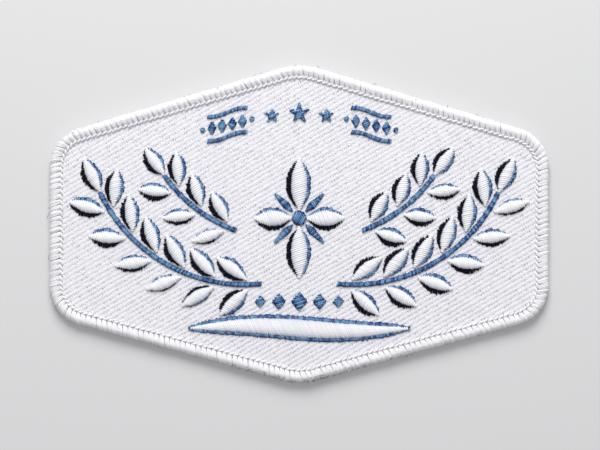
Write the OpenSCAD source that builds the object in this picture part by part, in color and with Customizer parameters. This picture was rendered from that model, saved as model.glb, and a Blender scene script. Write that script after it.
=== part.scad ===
// Embroidered patch: six-sided twill badge with a merrowed border and raised satin artwork
// Millimetres, +Z up, origin under the middle of the patch on the plane that it lies on.
// +X runs to the right of the artwork, +Y to its top.

/* [Overall size] */
// Width across the two upright sides
patch_w = 101.6; // [92:0.1:112]
// Height from the bottom point to the top point
patch_h = 64.5; // [60:0.1:72]
// Fall of the two upper edges, in degrees
top_slope = 16.6; // [14:0.1:19]
// Rise of the two lower edges, in degrees
bottom_slope = 15.2; // [13:0.1:17.5]
// Outer radius of the four side corners
side_corner_r = 8.2; // [6:0.1:10]
// Outer radius of the top and bottom points
point_r = 12.5; // [9:0.1:15]

/* [Twill ground] */
// Thickness of the twill with its stiff backing
ground_t = 1.0; // [1:0.05:1.3]
// Height of the cloth's back over the table
ground_lift = 0.6; // [0.45:0.05:0.8]

/* [Merrowed border] */
// Width of the border seen from above
border_w = 2.8; // [2.5:0.05:3.2]
// Height of the border, table to crest
border_h = 2.4; // [2.2:0.05:2.45]
// Length of cloth held inside the border
tuck = 1.2; // [0.8:0.05:1.5]
// Clearance around the held cloth
tuck_clear = 0.06; // [0.04:0.01:0.1]

/* [Satin stitching] */
// Rise of the white satin over the twill
white_rise = 0.95; // [0.7:0.05:1.2]
// Rise of the flat blue satin, such as the stars
blue_rise = 0.5; // [0.35:0.05:0.7]
// Rise of the thin edges that shade the white satin
edge_rise = 0.45; // [0.35:0.05:0.6]
// Widest black edge, on sides that face left
black_edge_w = 1.0; // [0.8:0.05:1.15]
// Widest blue edge, on sides that face right
blue_edge_w = 0.65; // [0.5:0.05:0.8]
// Height over its crest from which a leaf's fall towards its tips is drawn
tip_fall_start = 0.05; // [0.03:0.01:0.1]
// Clear gap between neighbouring pieces of stitching
stitch_gap = 0.12; // [0.1:0.01:0.2]

/* [Artwork] */
// Share of the patch's width that the artwork spans
art_share = 0.886; // [0.8:0.002:0.89]
// Direction that the shading faces away from, in degrees
shade_dir = 20; // [5:1:35]
// Angle between a stem and its leaves, in degrees
leaf_splay = 40; // [36:1:46]
// Width of the laurel stems
stem_w = 0.9; // [0.7:0.05:1.1]
// Radius of the middle star
star_r = 2.1; // [1.8:0.05:2.4]
// Radius of the two outer stars
small_star_r = 1.52; // [1.3:0.01:1.8]
// Clear distance between the points of two stars
star_spread = 1.9; // [1.6:0.05:2.6]
// Width of the wavy bars
bar_w = 0.7; // [0.55:0.05:0.9]
// Radius of the compass hub
hub_r = 1.4; // [1.1:0.05:1.7]

/* [Hidden] */
$fn = 96;
// overlap that makes cuts clean
cut = 1;
half_w = patch_w / 2;
ground_top = ground_lift + ground_t;
// widest shape that the artwork takes, its width over the patch's height
art_ratio = 1.575;
art_w = art_share * min(patch_w, patch_h * art_ratio);

// outline

// sharp corner heights, worked out from the slopes and the rounded points
top_point_y = patch_h / 2 + point_r * (1 / cos(top_slope) - 1);
bottom_point_y = -patch_h / 2 - point_r * (1 / cos(bottom_slope) - 1);
top_side_y = top_point_y - half_w * tan(top_slope);
bottom_side_y = bottom_point_y + half_w * tan(bottom_slope);

// sharp corners, counter-clockwise from the lower right: place, turn and outer radius
corners = [
    [[half_w, bottom_side_y], 90 - bottom_slope, side_corner_r],
    [[half_w, top_side_y], 90 - top_slope, side_corner_r],
    [[0, top_point_y], 2 * top_slope, point_r],
    [[-half_w, top_side_y], 90 - top_slope, side_corner_r],
    [[-half_w, bottom_side_y], 90 - bottom_slope, side_corner_r],
    [[0, bottom_point_y], 2 * bottom_slope, point_r],
];

function corner(i) = corners[(i + len(corners)) % len(corners)];
function corner_at(i) = corner(i)[0];
function corner_turn(i) = corner(i)[1];
function corner_r(i) = corner(i)[2];
function heading(from, to) = atan2(to[1] - from[1], to[0] - from[0]);
// direction of the edge that arrives at corner i
function edge_dir(i) = heading(corner_at(i - 1), corner_at(i));
// distance from a sharp corner to where its arc begins
function tangent_len(i) = corner_r(i) * tan(corner_turn(i) / 2);
// centre of the arc at corner i
function arc_centre(i) = let (a = edge_dir(i), t = tangent_len(i))
    [corner_at(i)[0] - t * cos(a) - corner_r(i) * sin(a),
     corner_at(i)[1] - t * sin(a) + corner_r(i) * cos(a)];
// where the arc at corner i begins and ends on the outline
function arc_start(i) = let (m = arc_centre(i), a = edge_dir(i) - 90)
    m + corner_r(i) * [cos(a), sin(a)];
function arc_end(i) = let (m = arc_centre(i), a = edge_dir(i + 1) - 90)
    m + corner_r(i) * [cos(a), sin(a)];

// the rounded outline, moved inwards
module outline(inset) {
    polygon([for (i = [0:len(corners) - 1]) each [
        arc_start(i) + inset * [-sin(edge_dir(i)), cos(edge_dir(i))],
        arc_centre(i),
        arc_end(i) + inset * [-sin(edge_dir(i + 1)), cos(edge_dir(i + 1))],
    ]]);
    for (i = [0:len(corners) - 1]) {
        translate(arc_centre(i))
            circle(r = corner_r(i) - inset);
    }
}

// twill ground

module twill_ground() {
    color("#ebeaef")
        translate([0, 0, ground_lift])
            linear_extrude(ground_t)
                outline(border_w - tuck);
}

// merrowed border

// the straight runs are this much slimmer than the corners, and reach this far into them
seam_step = 0.01;
seam_reach = 0.2;

// cut across the border: outer side at x = 0, table at y = 0
module border_section(slim) {
    difference() {
        translate([-border_w / 2, border_h - border_w / 2])
            circle(r = border_w / 2 - slim);
        translate([-border_w - cut, -border_w])
            square([border_w + 2 * cut, border_w]);
        translate([-border_w - cut, ground_lift - tuck_clear - slim])
            square([cut + tuck + tuck_clear + slim, ground_t + 2 * (tuck_clear + slim)]);
    }
}

module merrow_border() {
    color("#f4f4f7")
        for (i = [0:len(corners) - 1]) {
            m = arc_centre(i);
            from = arc_end(i);
            to = arc_start(i + 1);
            // straight run, drawn back from the next corner
            translate([to[0], to[1], 0])
                rotate([90, 0, edge_dir(i + 1) - 90])
                    translate([0, 0, -seam_reach])
                        linear_extrude(norm(to - from) + 2 * seam_reach)
                            border_section(seam_step);
            // rounded corner
            translate([m[0], m[1], 0])
                rotate([0, 0, edge_dir(i) - 90])
                    rotate_extrude(angle = corner_turn(i))
                        translate([corner_r(i), 0])
                            border_section(0);
        }
}

// satin leaves and their shading

// an edge is at least this share of its widest, and full from this lean on
least_edge_share = 0.35;
full_edge_lean = 0.45;
// fall of a leaf's crown to its sides and its tips, as shares of its rise
side_fall_share = 0.5;
tip_fall_share = 0.6;
// half length of a crescent's bow, as a share of the leaf's length, and the share of it that is sewn
edge_reach_share = 0.48;
edge_sewn_share = 0.9;

function ease(a) = let (b = max(0, min(1, a))) b * b * (3 - 2 * b);
// how far a side that faces direction h looks to the left: above 0 it is black, below 0 blue
function lean(h) = -cos(h - shade_dir);
function edge_width(h) = (lean(h) > 0 ? black_edge_w : blue_edge_w)
    * (least_edge_share + (1 - least_edge_share) * ease(abs(lean(h)) / full_edge_lean));
// radius of a circle with the given half chord and rise
function bow_r(half_chord, rise) = (half_chord * half_chord + rise * rise) / (2 * rise);

// pointed white leaf from the origin along +X, crowned across and falling towards both tips
module leaf_body(long, wide) {
    side_r = bow_r(long / 2, wide / 2);
    across_r = bow_r(wide / 2, white_rise * side_fall_share);
    along_r = bow_r(long / 2, white_rise * tip_fall_share);
    translate([long / 2, 0, ground_top])
        intersection() {
            linear_extrude(white_rise + cut)
                intersection_for (s = [-1, 1]) {
                    translate([0, s * (side_r - wide / 2)])
                        circle(r = side_r);
                }
            translate([0, 0, white_rise - across_r])
                rotate([0, 90, 0])
                    cylinder(r = across_r, h = long + cut, center = true);
            translate([0, 0, white_rise + tip_fall_start - along_r])
                rotate([90, 0, 0])
                    cylinder(r = along_r, h = wide + cut, center = true);
        }
}

// crescent of shading beside a leaf; side is 1 for its left, -1 for its right
module leaf_edge(long, wide, edge, side) {
    side_r = bow_r(long / 2, wide / 2);
    inner_r = side_r + stitch_gap;
    reach = long * edge_reach_share;
    inner_rise = inner_r - sqrt(inner_r * inner_r - reach * reach);
    outer_r = bow_r(reach, inner_rise + edge);
    crest = wide / 2 + stitch_gap + edge;
    translate([long / 2, 0, ground_top])
        linear_extrude(edge_rise)
            difference() {
                intersection() {
                    translate([0, side * (crest - outer_r)])
                        circle(r = outer_r);
                    translate([0, side * crest / 2])
                        square([2 * reach * edge_sewn_share, crest], center = true);
                }
                translate([0, side * (wide / 2 - side_r)])
                    circle(r = inner_r);
            }
}

// columns of a leaf row: place of its foot, direction that it points in, length, width
function leaf_x(row) = row[0];
function leaf_y(row) = row[1];
function leaf_head(row) = row[2];
function leaf_long(row) = row[3];
function leaf_wide(row) = row[4];

module at_leaf(row) {
    translate([leaf_x(row), leaf_y(row), 0])
        rotate([0, 0, leaf_head(row)])
            children();
}

module leaf_bodies(rows) {
    for (row = rows) {
        at_leaf(row)
            leaf_body(leaf_long(row), leaf_wide(row));
    }
}

// tone is 1 for the black edges, -1 for the blue
module leaf_edges(rows, tone) {
    for (row = rows, side = [1, -1]) {
        h = leaf_head(row) + side * 90;
        if (lean(h) * tone > 0) {
            at_leaf(row)
                leaf_edge(leaf_long(row), leaf_wide(row), edge_width(h), side);
        }
    }
}

// laurel sprays

// a spray of the right side: foot of the stem, its direction, radius and bend, length and width of its
// leaves; lengths are shares of the artwork's width
sprays = [
    [0.085, -0.136, -6, 0.360, 71, 0.083, 0.0240],
    [0.142, -0.016, 20, 0.340, 35, 0.074, 0.0220],
];

function spray_x(s) = s[0] * art_w;
function spray_y(s) = s[1] * art_w;
function spray_head(s) = s[2];
function spray_r(s) = s[3] * art_w;
function spray_bend(s) = s[4];
function spray_leaf_long(s) = s[5] * art_w;
function spray_leaf_wide(s) = s[6] * art_w;
// share of a pitch from the stem's end to the first leaf pair, and least share from the last to its foot
end_pair_share = 0.75;
foot_spare_share = 0.15;
// shares of a leaf's length at which its distance from the stem is looked at
foot_shares = [0.06:0.02:0.7];

// point and direction on a stem after an arc of the given length
function stem_point(s, along) = let (r = spray_r(s), turn = along / r * 180 / PI, h = spray_head(s)) [
    spray_x(s) + r * (sin(h + turn) - sin(h)),
    spray_y(s) - r * (cos(h + turn) - cos(h)),
    h + turn,
];
function stem_length(s) = spray_r(s) * spray_bend(s) * PI / 180;
// spacing of the leaf pairs that keeps neighbouring leaves and their edges clear
function leaf_pitch(s) = (spray_leaf_wide(s) + black_edge_w + blue_edge_w + 4 * stitch_gap)
    / sin(leaf_splay);
function pair_count(s) = floor(stem_length(s) / leaf_pitch(s) - end_pair_share - foot_spare_share) + 1;

// distance of a leaf's outer black edge from its middle line, at share t of its length
function edge_side(wide, t) = 2 * wide * t * (1 - t) + 4 * stitch_gap
    + black_edge_w * (1 - pow((0.5 - t) / edge_reach_share, 2));
// distance of a leaf's foot from the stem's middle line that keeps the leaf's edges off the curved stem
function leaf_foot(long, wide, r) = (stem_w / 2 + stitch_gap) / sin(leaf_splay)
    + max([for (t = foot_shares) edge_side(wide, t) / tan(leaf_splay) - t * long
        + pow((t * long + stem_w) * cos(leaf_splay), 2) / (2 * r * sin(leaf_splay))]);

// leaves of one spray: pairs along the stem and one at its end
function spray_leaves(s) = let (
        long = spray_leaf_long(s),
        wide = spray_leaf_wide(s),
        total = stem_length(s),
        pitch = leaf_pitch(s),
        foot = leaf_foot(long, wide, spray_r(s)),
        tip = stem_point(s, total)
    ) concat(
        [for (k = [0:pair_count(s) - 1], side = [1, -1])
            let (p = stem_point(s, total - pitch * (k + end_pair_share)), h = p[2] + side * leaf_splay)
            [p[0] + foot * cos(h), p[1] + foot * sin(h), h, long, wide]],
        [[tip[0] + stitch_gap * cos(tip[2]), tip[1] + stitch_gap * sin(tip[2]), tip[2], long, wide]]
    );

function flip_leaf(row) = [-leaf_x(row), leaf_y(row), 180 - leaf_head(row), leaf_long(row),
    leaf_wide(row)];
right_leaves = [for (s = sprays) each spray_leaves(s)];
left_leaves = [for (row = right_leaves) flip_leaf(row)];

module stems() {
    for (s = sprays) {
        r = spray_r(s);
        h = spray_head(s);
        translate([spray_x(s) - r * sin(h), spray_y(s) + r * cos(h), ground_top])
            rotate([0, 0, h - 90])
                rotate_extrude(angle = spray_bend(s))
                    translate([r - stem_w / 2, 0])
                        square([stem_w, blue_rise]);
    }
}

module laurel_right_leaves() {
    color("#fbfbfd")
        leaf_bodies(right_leaves);
}

module laurel_left_leaves() {
    color("#fbfbfd")
        leaf_bodies(left_leaves);
}

module laurel_right_black_edges() {
    color("#1a1c28")
        leaf_edges(right_leaves, 1);
}

module laurel_left_black_edges() {
    color("#1a1c28")
        leaf_edges(left_leaves, 1);
}

module laurel_right_blue_edges() {
    color("#5477a0")
        leaf_edges(right_leaves, -1);
}

module laurel_left_blue_edges() {
    color("#5477a0")
        leaf_edges(left_leaves, -1);
}

module laurel_right_stems() {
    color("#5477a0")
        stems();
}

module laurel_left_stems() {
    color("#5477a0")
        mirror([1, 0, 0])
            stems();
}

// compass rose

// height of the rose's middle, as a share of the artwork's width
rose_share = 0.012;
rose_y = rose_share * art_w;
// a petal of the rose: direction, and length and width as shares of the artwork's width
petals = [
    [0, 0.085, 0.034],
    [90, 0.118, 0.036],
    [180, 0.085, 0.034],
    [270, 0.118, 0.036],
];
function petal_head(p) = p[0];
function petal_long(p) = p[1] * art_w;
function petal_wide(p) = p[2] * art_w;
petal_rows = [for (p = petals) let (foot = hub_r + stitch_gap, h = petal_head(p))
    [foot * cos(h), rose_y + foot * sin(h), h, petal_long(p), petal_wide(p)]];
// length and width of the four small points between the petals, as shares of the artwork's width
ray_long_share = 0.062;
ray_wide_share = 0.0155;
// where such a point is widest, as a share of its length
ray_belly_share = 0.3;

module compass_petals() {
    color("#fbfbfd")
        leaf_bodies(petal_rows);
}

module compass_black_edges() {
    color("#1a1c28")
        leaf_edges(petal_rows, 1);
}

module compass_blue_edges() {
    color("#5477a0")
        leaf_edges(petal_rows, -1);
}

module compass_rays() {
    color("#5477a0")
        for (i = [0:3]) {
            translate([0, rose_y, ground_top])
                rotate([0, 0, 45 + 90 * i])
                    translate([hub_r + 4 * stitch_gap, 0, 0])
                        linear_extrude(blue_rise)
                            polygon(art_w * [
                                [0, 0],
                                [ray_long_share * ray_belly_share, -ray_wide_share / 2],
                                [ray_long_share, 0],
                                [ray_long_share * ray_belly_share, ray_wide_share / 2],
                            ]);
        }
}

module compass_hub() {
    dome_r = bow_r(hub_r, white_rise - edge_rise);
    color("#5477a0")
        translate([0, rose_y, ground_top])
            intersection() {
                cylinder(r = hub_r, h = white_rise + cut);
                translate([0, 0, white_rise - dome_r])
                    sphere(r = dome_r);
            }
}

// stars, bars and diamonds of the top

// height of the middle star and drop of the outer two, as shares of the patch's height
star_share = 0.3475;
star_drop_share = 0.0065;
// radius of a star's inner corners, as a share of the outer
star_inner_share = 0.4;

function star_points(r) = [for (i = [0:9])
    let (a = 90 + 36 * i, q = i % 2 == 0 ? r : r * star_inner_share)
    q * [cos(a), sin(a)]];

module star_at(x, y, r) {
    color("#5477a0")
        translate([x, y, ground_top])
            linear_extrude(blue_rise)
                polygon(star_points(r));
}

star_dx = star_r + star_spread + small_star_r;

module star_centre() {
    star_at(0, star_share * patch_h, star_r);
}

module star_left() {
    star_at(-star_dx, (star_share - star_drop_share) * patch_h, small_star_r);
}

module star_right() {
    star_at(star_dx, (star_share - star_drop_share) * patch_h, small_star_r);
}

// panel of the right side: its middle beside the outer star and up the patch, as shares of both widths
panel_away_share = 0.084;
panel_up_share = 0.3115;
panel_x = star_dx + small_star_r + panel_away_share * art_w;
panel_y = panel_up_share * patch_h;
// it leans like the patch's edge, and its bars stay right above each other
panel_slope = -13;
// length of the bars, distance from the panel's middle and wave, as shares of the artwork's width
bar_long_share = 0.0905;
bar_away_share = 0.0235;
bar_wave_share = 0.003;
wave_steps = 24;

function bar_point(t, y) = let (x = (t - 0.5) * bar_long_share * art_w)
    [x, x * tan(panel_slope) + bar_wave_share * art_w * sin(360 * t) + y];

module wavy_bar(y) {
    linear_extrude(blue_rise)
        polygon(concat(
            [for (i = [0:wave_steps]) bar_point(i / wave_steps, y - bar_w / 2)],
            [for (i = [wave_steps:-1:0]) bar_point(i / wave_steps, y + bar_w / 2)]
        ));
}

module right_bars() {
    translate([panel_x, panel_y, ground_top])
        for (s = [-1, 1]) {
            wavy_bar(s * (bar_away_share * art_w + bar_w / 2));
        }
}

// diamonds of a row: place along it, half width and half height, as shares of the artwork's width
panel_gems = [
    [-0.0555, 0.0060, 0.0060],
    [-0.0345, 0.0092, 0.0145],
    [-0.0115, 0.0092, 0.0145],
    [0.0115, 0.0092, 0.0145],
    [0.0345, 0.0092, 0.0145],
    [0.0555, 0.0060, 0.0060],
];
lower_gems = [
    [-0.088, 0.0120, 0.0130],
    [-0.046, 0.0155, 0.0170],
    [0.000, 0.0185, 0.0205],
    [0.046, 0.0155, 0.0170],
    [0.088, 0.0120, 0.0130],
];
function gem_x(g) = g[0] * art_w;
function gem_wide(g) = g[1] * art_w;
function gem_tall(g) = g[2] * art_w;

module diamonds(gems, slope) {
    for (g = gems) {
        translate([gem_x(g), gem_x(g) * tan(slope), 0])
            linear_extrude(blue_rise)
                polygon([[gem_wide(g), 0], [0, gem_tall(g)], [-gem_wide(g), 0], [0, -gem_tall(g)]]);
    }
}

module right_diamonds() {
    translate([panel_x, panel_y, ground_top])
        diamonds(panel_gems, panel_slope);
}

module bars_right() {
    color("#5477a0")
        right_bars();
}

module bars_left() {
    color("#5477a0")
        mirror([1, 0, 0])
            right_bars();
}

module diamonds_right() {
    color("#5477a0")
        right_diamonds();
}

module diamonds_left() {
    color("#5477a0")
        mirror([1, 0, 0])
            right_diamonds();
}

// height of the row of diamonds over the pennant, as a share of the patch's height
lower_gem_share = -0.2455;

module diamonds_lower() {
    color("#5477a0")
        translate([0, lower_gem_share * patch_h, ground_top])
            diamonds(lower_gems, 0);
}

// wavy pennant

// its height on the patch, as a share of the patch's height
pennant_share = -0.3295;
// half length, widest half width and wave, as shares of the artwork's width
pennant_half_share = 0.250;
pennant_fat_share = 0.0195;
pennant_wave_share = 0.006;
pennant_steps = 48;
// how blunt its ends are, and how thin its edges get there and over what share of the length
pennant_blunt = 0.8;
end_edge_share = 0.4;
end_thin_share = 0.12;

function pennant_mid(t) = pennant_share * patch_h + pennant_wave_share * art_w * sin(360 * t);
function pennant_fat(t) = pennant_fat_share * art_w * pow(max(0, sin(180 * t)), pennant_blunt);
// the blue edges thin out towards both ends
function pennant_thin(t) = end_edge_share
    + (1 - end_edge_share) * ease(min(t, 1 - t) / end_thin_share);
// line along the pennant: side is 1 for its top, -1 for its bottom; edge is the share of the blue edge
// that it takes in
function pennant_line(side, gap, edge, skip) = [
    for (i = [skip:pennant_steps - skip]) let (t = i / pennant_steps) [
        (2 * t - 1) * pennant_half_share * art_w,
        pennant_mid(t) + side * (pennant_fat(t) + gap + edge * blue_edge_w * pennant_thin(t)),
    ]
];
function backwards(list) = [for (i = [len(list) - 1:-1:0]) list[i]];

module pennant_strip(low, high, tall) {
    translate([0, 0, ground_top])
        linear_extrude(tall)
            polygon(concat(low, backwards(high)));
}

module pennant_body() {
    color("#fbfbfd")
        pennant_strip(pennant_line(-1, 0, 0, 1), pennant_line(1, 0, 0, 1), (white_rise + edge_rise) / 2);
}

module pennant_upper_edge() {
    color("#5477a0")
        pennant_strip(pennant_line(1, stitch_gap, 0, 0), pennant_line(1, stitch_gap, 1, 0), edge_rise);
}

module pennant_lower_edge() {
    color("#5477a0")
        pennant_strip(pennant_line(-1, stitch_gap, 1, 0), pennant_line(-1, stitch_gap, 0, 0), edge_rise);
}

twill_ground();
merrow_border();
star_centre();
star_left();
star_right();
bars_left();
bars_right();
diamonds_left();
diamonds_right();
diamonds_lower();
compass_petals();
compass_black_edges();
compass_blue_edges();
compass_rays();
compass_hub();
laurel_left_leaves();
laurel_left_black_edges();
laurel_left_blue_edges();
laurel_left_stems();
laurel_right_leaves();
laurel_right_black_edges();
laurel_right_blue_edges();
laurel_right_stems();
pennant_body();
pennant_upper_edge();
pennant_lower_edge();
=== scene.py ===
import math
import random

import bmesh
import bpy
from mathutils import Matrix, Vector


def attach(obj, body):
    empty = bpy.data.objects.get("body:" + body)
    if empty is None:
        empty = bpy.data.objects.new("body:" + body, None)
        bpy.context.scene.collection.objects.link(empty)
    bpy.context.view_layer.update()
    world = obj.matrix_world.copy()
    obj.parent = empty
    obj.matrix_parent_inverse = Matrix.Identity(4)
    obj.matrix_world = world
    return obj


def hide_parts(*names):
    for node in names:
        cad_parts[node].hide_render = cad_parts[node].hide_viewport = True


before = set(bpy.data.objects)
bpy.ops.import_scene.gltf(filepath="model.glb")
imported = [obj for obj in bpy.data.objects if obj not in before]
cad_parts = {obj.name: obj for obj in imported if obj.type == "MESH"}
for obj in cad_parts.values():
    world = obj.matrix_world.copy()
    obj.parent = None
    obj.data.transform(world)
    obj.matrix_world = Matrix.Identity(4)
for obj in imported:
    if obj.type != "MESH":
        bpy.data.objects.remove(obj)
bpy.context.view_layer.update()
print("frame loaded")

scene = bpy.context.scene
mm = 0.001
dice = random.Random(11)

# sizes of the patch in millimetres and degrees, the same as in the solids
patch = dict(
    width=101.6, height=64.5, topSlope=16.6, bottomSlope=15.2, sideRadius=8.2, pointRadius=12.5,
    clothLift=0.6, clothThick=1.0, borderWidth=2.8, borderHeight=2.4, tuck=1.2,
    whiteRise=0.95, blueRise=0.5, edgeRise=0.45, blackEdge=1.0, blueEdge=0.65, gap=0.12,
    artShare=0.886, artAspect=1.575, shadeFrom=20.0,
)
clothTop = patch["clothLift"] + patch["clothThick"]
clothInset = patch["borderWidth"] - patch["tuck"]  # from the outline to the cloth's edge
clearance = 4 * patch["gap"]  # between neighbouring leaves
artWidth = patch["artShare"] * min(patch["width"], patch["height"] * patch["artAspect"])


def turned(x, y, degrees):
    a = math.radians(degrees)
    return x * math.cos(a) - y * math.sin(a), x * math.sin(a) + y * math.cos(a)


def tanOf(degrees):
    return math.tan(math.radians(degrees))


def cosOf(degrees):
    return math.cos(math.radians(degrees))


def sinOf(degrees):
    return math.sin(math.radians(degrees))


def ease(a):
    a = max(0.0, min(1.0, a))
    return a * a * (3 - 2 * a)


def between(a, b, share):
    return tuple(p + (q - p) * share for p, q in zip(a, b))


# materials

def newGroup(name, inputs, outputs):
    group = bpy.data.node_groups.new(name, "ShaderNodeTree")
    for label, kind, value in inputs:
        socket = group.interface.new_socket(name=label, in_out="INPUT", socket_type=kind)
        socket.default_value = value
    for label, kind in outputs:
        group.interface.new_socket(name=label, in_out="OUTPUT", socket_type=kind)
    return group, group.nodes.new("NodeGroupInput"), group.nodes.new("NodeGroupOutput")


def mathNode(tree, operation, a, b=None, clamp=False):
    node = tree.nodes.new("ShaderNodeMath")
    node.operation = operation
    node.use_clamp = clamp
    for slotNumber, value in enumerate((a, b)):
        if value is None:
            continue
        if isinstance(value, (int, float)):
            node.inputs[slotNumber].default_value = value
        else:
            tree.links.new(value, node.inputs[slotNumber])
    return node.outputs[0]


def plus(tree, a, b, clamp=False):
    return mathNode(tree, "ADD", a, b, clamp)


def minus(tree, a, b, clamp=False):
    return mathNode(tree, "SUBTRACT", a, b, clamp)


def times(tree, a, b, clamp=False):
    return mathNode(tree, "MULTIPLY", a, b, clamp)


# a Mix node has sockets for every kind of value: 0 is the factor, 6, 7 and 2 are the colours
def mixColor(tree, factor, a, b):
    node = tree.nodes.new("ShaderNodeMix")
    node.data_type = "RGBA"
    for socket, value in ((node.inputs[0], factor), (node.inputs[6], a), (node.inputs[7], b)):
        if isinstance(value, (int, float, tuple)):
            socket.default_value = value
        else:
            tree.links.new(value, socket)
    return node.outputs[2]


def noiseNode(tree, place, scale, detail):
    node = tree.nodes.new("ShaderNodeTexNoise")
    node.inputs["Scale"].default_value = scale
    node.inputs["Detail"].default_value = detail
    tree.links.new(place, node.inputs["Vector"])
    return node.outputs


def newMaterial(name):
    material = bpy.data.materials.new(name)
    material.use_nodes = True
    return material, material.node_tree, material.node_tree.nodes["Principled BSDF"]


# bump, sheen and gloss of a cloth or a thread
def finishFibres(tree, shader, height, look, bumpDistance):
    bump = tree.nodes.new("ShaderNodeBump")
    bump.inputs["Strength"].default_value = look["bump"]
    bump.inputs["Distance"].default_value = bumpDistance * mm
    tree.links.new(height, bump.inputs["Height"])
    tree.links.new(bump.outputs["Normal"], shader.inputs["Normal"])
    shader.inputs["Sheen Weight"].default_value = look["sheen"]
    shader.inputs["Specular IOR Level"].default_value = look["gloss"]


# how all threads are spun
spinning = dict(
    valleySharp=3.0, fibreNoise=(4.5, 4), fibreStretch=0.45, strandShift=61.0, fibreMiddle=0.38,
    smoothest=0.36, roughSpread=0.3, fibreHeight=0.6, valleyDrop=0.7, bumpDistance=0.06,
)


# spun thread: tone from strand to strand, two plies twisted round each other, and fibres that follow them;
# painted shade darkens the valley between the plies and the thread ends
def makeYarnGroup():
    group, source, result = newGroup(
        "spun thread",
        [("Color", "NodeSocketColor", (1, 1, 1, 1)), ("Deep Color", "NodeSocketColor", (0.5, 0.5, 0.5, 1)),
         ("Strand Tone", "NodeSocketFloat", 0.3), ("Ply Valley Shade", "NodeSocketFloat", 0.3),
         ("Fibre Tone", "NodeSocketFloat", 0.3), ("End Shade", "NodeSocketFloat", 0.0),
         ("Twist Length", "NodeSocketFloat", 1.2), ("Dullness", "NodeSocketFloat", 0.0)],
        [("Color", "NodeSocketColor"), ("Roughness", "NodeSocketFloat"), ("Height", "NodeSocketFloat")])

    def ofStrand(name, output):
        node = group.nodes.new("ShaderNodeAttribute")
        node.attribute_name = name
        return node.outputs[output]

    tone = ofStrand("strandTone", "Fac")
    end = ofStrand("strandEndShade", "Fac")
    parts = group.nodes.new("ShaderNodeSeparateXYZ")
    group.links.new(ofStrand("strandWay", "Vector"), parts.inputs[0])
    along, across, up = parts.outputs
    # the angle round the thread, turned on by the way along it
    phase = times(group, mathNode(group, "DIVIDE", along, source.outputs["Twist Length"]), 2 * math.pi)
    sine = mathNode(group, "SINE", phase)
    cosine = mathNode(group, "COSINE", phase)
    twistedAcross = minus(group, times(group, across, cosine), times(group, up, sine))
    twistedUp = plus(group, times(group, up, cosine), times(group, across, sine))
    flank = minus(group, 1.0, mathNode(group, "ABSOLUTE", twistedUp), clamp=True)
    valley = mathNode(group, "POWER", flank, spinning["valleySharp"])
    # fibres: noise drawn out along the twisted way
    drawnOut = plus(group, times(group, along, spinning["fibreStretch"]),
                    times(group, tone, spinning["strandShift"]))
    fibrePlace = group.nodes.new("ShaderNodeCombineXYZ")
    for value, socket in zip((twistedAcross, twistedUp, drawnOut), fibrePlace.inputs):
        group.links.new(value, socket)
    fibre = noiseNode(group, fibrePlace.outputs[0], *spinning["fibreNoise"])["Fac"]
    shade = times(group, tone, source.outputs["Strand Tone"])
    # painted shade: darker in the valley between the plies and near the ends of a thread
    shade = plus(group, shade, times(group, valley, source.outputs["Ply Valley Shade"]))
    shade = plus(group, shade, times(group, end, source.outputs["End Shade"]))
    streak = times(group, minus(group, fibre, spinning["fibreMiddle"]), source.outputs["Fibre Tone"])
    shade = plus(group, shade, streak, clamp=True)
    color = mixColor(group, shade, source.outputs["Color"], source.outputs["Deep Color"])
    rough = plus(group, times(group, fibre, spinning["roughSpread"]), spinning["smoothest"])
    rough = plus(group, rough, source.outputs["Dullness"])
    height = plus(group, times(group, fibre, spinning["fibreHeight"]),
                  times(group, valley, -spinning["valleyDrop"]))
    group.links.new(color, result.inputs["Color"])
    group.links.new(rough, result.inputs["Roughness"])
    group.links.new(height, result.inputs["Height"])
    return group


yarnGroup = makeYarnGroup()


def yarnMaterial(name, look):
    material, tree, shader = newMaterial(name)
    yarn = tree.nodes.new("ShaderNodeGroup")
    yarn.node_tree = yarnGroup
    yarn.inputs["Color"].default_value = (*look["light"], 1)
    yarn.inputs["Deep Color"].default_value = (*look["deep"], 1)
    for label, key in (("Strand Tone", "tone"), ("Ply Valley Shade", "plyValleyShade"), ("Fibre Tone", "fibre"),
                       ("End Shade", "ends"), ("Twist Length", "twist"), ("Dullness", "dull")):
        yarn.inputs[label].default_value = look[key]
    tree.links.new(yarn.outputs["Color"], shader.inputs["Base Color"])
    tree.links.new(yarn.outputs["Roughness"], shader.inputs["Roughness"])
    finishFibres(tree, shader, yarn.outputs["Height"], look, spinning["bumpDistance"])
    return material


# light and deep colour, and how far strands, plies, fibres and ends go from the one to the other; at the ply
# valleys and the ends the deep colour is painted shade
# white satin: its lavender grey deep colour, strong at the thread ends, is painted shade that makes the forms
# look round
whiteSatinLook = dict(
    light=(0.99, 0.99, 1.0), deep=(0.50, 0.51, 0.63), tone=0.14, plyValleyShade=0.12, fibre=0.45, ends=0.9,
    twist=1.1, bump=0.6, sheen=0.1, gloss=0.4, dull=0.0,
)
blueSatinLook = dict(
    light=(0.37, 0.69, 1.0), deep=(0.001, 0.028, 0.17), tone=0.6, plyValleyShade=0.5, fibre=1.9, ends=0.9,
    twist=1.1, bump=0.9, sheen=0.0, gloss=0.08, dull=0.05,
)
blackSatinLook = dict(
    light=(0.012, 0.013, 0.027), deep=(0.001, 0.001, 0.004), tone=0.5, plyValleyShade=0.4, fibre=1.0, ends=0.0,
    twist=1.1, bump=0.6, sheen=0.0, gloss=0.07, dull=0.25,
)
borderLook = dict(
    light=(0.99, 0.99, 1.0), deep=(0.50, 0.50, 0.54), tone=0.16, plyValleyShade=0.18, fibre=0.75, ends=0.0,
    twist=1.5, bump=0.7, sheen=0.15, gloss=0.2, dull=0.2,
)
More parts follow.
